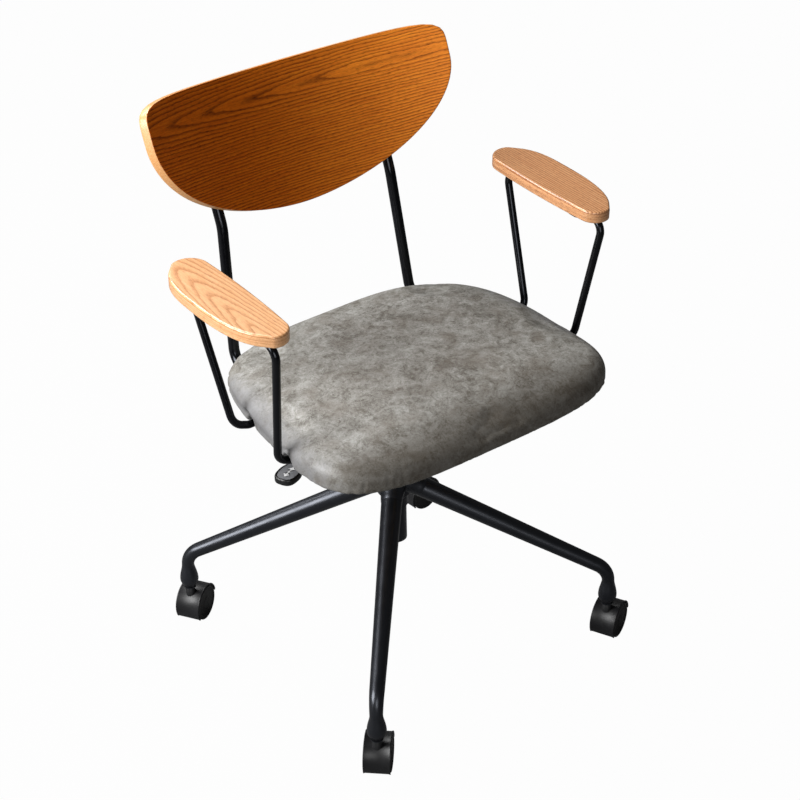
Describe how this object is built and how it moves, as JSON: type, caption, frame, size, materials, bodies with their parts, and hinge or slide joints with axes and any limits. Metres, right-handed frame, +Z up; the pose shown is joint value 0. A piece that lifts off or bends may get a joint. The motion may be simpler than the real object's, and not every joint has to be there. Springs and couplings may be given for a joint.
{
  "type": "office armchair",
  "caption": "Swivel office armchair with a curved plywood backrest, padded seat, wooden armrests on bent steel rod and a four-leg base on twin-wheel casters.",
  "frame": {"origin": "on the floor, on the swivel axis", "axes": "+Z up; the sitter faces -Y; +X is the sitter's left"},
  "size_m": [0.566, 0.4844, 0.7775],
  "materials": {
    "black_steel": "black powder coat",
    "black_nylon": "satin moulded nylon",
    "black_paddle": "moulded, softer top face",
    "bright_steel": "ground",
    "zinc_steel": "zinc plated",
    "birch_ply": "raw plywood",
    "light_ash": "clear satin lacquer",
    "walnut_ply": "stained veneer, clear satin lacquer",
    "grey_leather": "mottled grey coated leather"
  },
  "bodies": {
    "base": {"base_hub": "black_steel", "leg_front_right": "black_steel", "leg_front_left": "black_steel", "leg_rear_left": "black_steel", "leg_rear_right": "black_steel", "column_tube": "black_steel", "guide_bush": "black_nylon", "thrust_bearing": "bright_steel"},
    "spindle": {"piston_rod": "bright_steel", "retaining_clip": "zinc_steel"},
    "seat": {"pressure_tube": "bright_steel", "seat_plate": "black_steel", "lift_housing": "black_steel", "lever_pin": "zinc_steel", "seat_plate_screws": "zinc_steel", "seat_board": "birch_ply", "tee_nuts": "zinc_steel", "seat_cushion": "grey_leather", "arm_hoop_left": "black_steel", "arm_hoop_right": "black_steel", "arm_plate_left": "black_steel", "arm_plate_right": "black_steel", "arm_plate_screws": "zinc_steel", "armrest_left": "light_ash", "armrest_right": "light_ash", "armrest_tabs": "black_steel", "armrest_screws": "zinc_steel", "upright_left": "black_steel", "upright_right": "black_steel", "upright_screws": "zinc_steel", "upright_plugs": "black_nylon", "backrest": "walnut_ply", "backrest_spacers": "black_nylon", "backrest_screws": "zinc_steel"},
    "button": {"valve_button": "bright_steel"},
    "lever": {"lever_rod": "black_steel", "lever_paddle": "black_paddle"},
    "caster_front_right": {"caster_hood_front_right": "black_nylon", "caster_stem_front_right": "bright_steel", "caster_axle_front_right": "zinc_steel"},
    "wheel_front_right_a": {"wheel_front_right_a": "black_nylon"},
    "wheel_front_right_b": {"wheel_front_right_b": "black_nylon"},
    "caster_front_left": {"caster_hood_front_left": "black_nylon", "caster_stem_front_left": "bright_steel", "caster_axle_front_left": "zinc_steel"},
    "wheel_front_left_a": {"wheel_front_left_a": "black_nylon"},
    "wheel_front_left_b": {"wheel_front_left_b": "black_nylon"},
    "caster_rear_left": {"caster_hood_rear_left": "black_nylon", "caster_stem_rear_left": "bright_steel", "caster_axle_rear_left": "zinc_steel"},
    "wheel_rear_left_a": {"wheel_rear_left_a": "black_nylon"},
    "wheel_rear_left_b": {"wheel_rear_left_b": "black_nylon"},
    "caster_rear_right": {"caster_hood_rear_right": "black_nylon", "caster_stem_rear_right": "bright_steel", "caster_axle_rear_right": "zinc_steel"},
    "wheel_rear_right_a": {"wheel_rear_right_a": "black_nylon"},
    "wheel_rear_right_b": {"wheel_rear_right_b": "black_nylon"}
  },
  "joints": [
    {"name": "seat_swivel", "type": "hinge", "parent": "base", "child": "spindle", "pos_m": [0, 0, 0.175], "axis": [0, 0, 1], "continuous": true},
    {"name": "seat_lift", "type": "slide", "parent": "spindle", "child": "seat", "axis": [0, 0, 1], "range_m": [-0.03, 0.045]},
    {"name": "valve_press", "type": "slide", "parent": "seat", "child": "button", "axis": [0, 0, -1], "range_m": [0, 0.0021]},
    {"name": "lever_tilt", "type": "hinge", "parent": "seat", "child": "lever", "pos_m": [-0.02322, -0.00605, 0.3758], "axis": [-0.2521, 0.9677, 0], "range_deg": [0, 5], "stiffness_Nm_per_rad": 1.5, "springref_deg": -5.73},
    {"name": "caster_swivel_front_right", "type": "hinge", "parent": "base", "child": "caster_front_right", "pos_m": [-0.19367, -0.21585, 0.062], "axis": [0, 0, 1], "continuous": true},
    {"name": "wheel_roll_front_right_a", "type": "hinge", "parent": "caster_front_right", "child": "wheel_front_right_a", "pos_m": [-0.18549, -0.20707, 0.025], "axis": [-0.7314, 0.682, 0], "continuous": true},
    {"name": "wheel_roll_front_right_b", "type": "hinge", "parent": "caster_front_right", "child": "wheel_front_right_b", "pos_m": [-0.18549, -0.20707, 0.025], "axis": [-0.7314, 0.682, 0], "continuous": true},
    {"name": "caster_swivel_front_left", "type": "hinge", "parent": "base", "child": "caster_front_left", "pos_m": [0.21585, -0.19367, 0.062], "axis": [0, 0, 1], "continuous": true},
    {"name": "wheel_roll_front_left_a", "type": "hinge", "parent": "caster_front_left", "child": "wheel_front_left_a", "pos_m": [0.22673, -0.1886, 0.025], "axis": [-0.4226, 0.9063, 0], "continuous": true},
    {"name": "wheel_roll_front_left_b", "type": "hinge", "parent": "caster_front_left", "child": "wheel_front_left_b", "pos_m": [0.22673, -0.1886, 0.025], "axis": [-0.4226, 0.9063, 0], "continuous": true},
    {"name": "caster_swivel_rear_left", "type": "hinge", "parent": "base", "child": "caster_rear_left", "pos_m": [0.19367, 0.21585, 0.062], "axis": [0, 0, 1], "continuous": true},
    {"name": "wheel_roll_rear_left_a", "type": "hinge", "parent": "caster_rear_left", "child": "wheel_rear_left_a", "pos_m": [0.20563, 0.2169, 0.025], "axis": [-0.0872, 0.9962, 0], "continuous": true},
    {"name": "wheel_roll_rear_left_b", "type": "hinge", "parent": "caster_rear_left", "child": "wheel_rear_left_b", "pos_m": [0.20563, 0.2169, 0.025], "axis": [-0.0872, 0.9962, 0], "continuous": true},
    {"name": "caster_swivel_rear_right", "type": "hinge", "parent": "base", "child": "caster_rear_right", "pos_m": [-0.21585, 0.19367, 0.062], "axis": [0, 0, 1], "continuous": true},
    {"name": "wheel_roll_rear_right_a", "type": "hinge", "parent": "caster_rear_right", "child": "wheel_rear_right_a", "pos_m": [-0.20567, 0.20003, 0.025], "axis": [-0.5299, 0.848, 0], "continuous": true},
    {"name": "wheel_roll_rear_right_b", "type": "hinge", "parent": "caster_rear_right", "child": "wheel_rear_right_b", "pos_m": [-0.20567, 0.20003, 0.025], "axis": [-0.5299, 0.848, 0], "continuous": true}
  ],
  "couplings": [
    {"joint": "valve_press", "follows": "lever_tilt", "m_per_rad": 0.024}
  ]
}
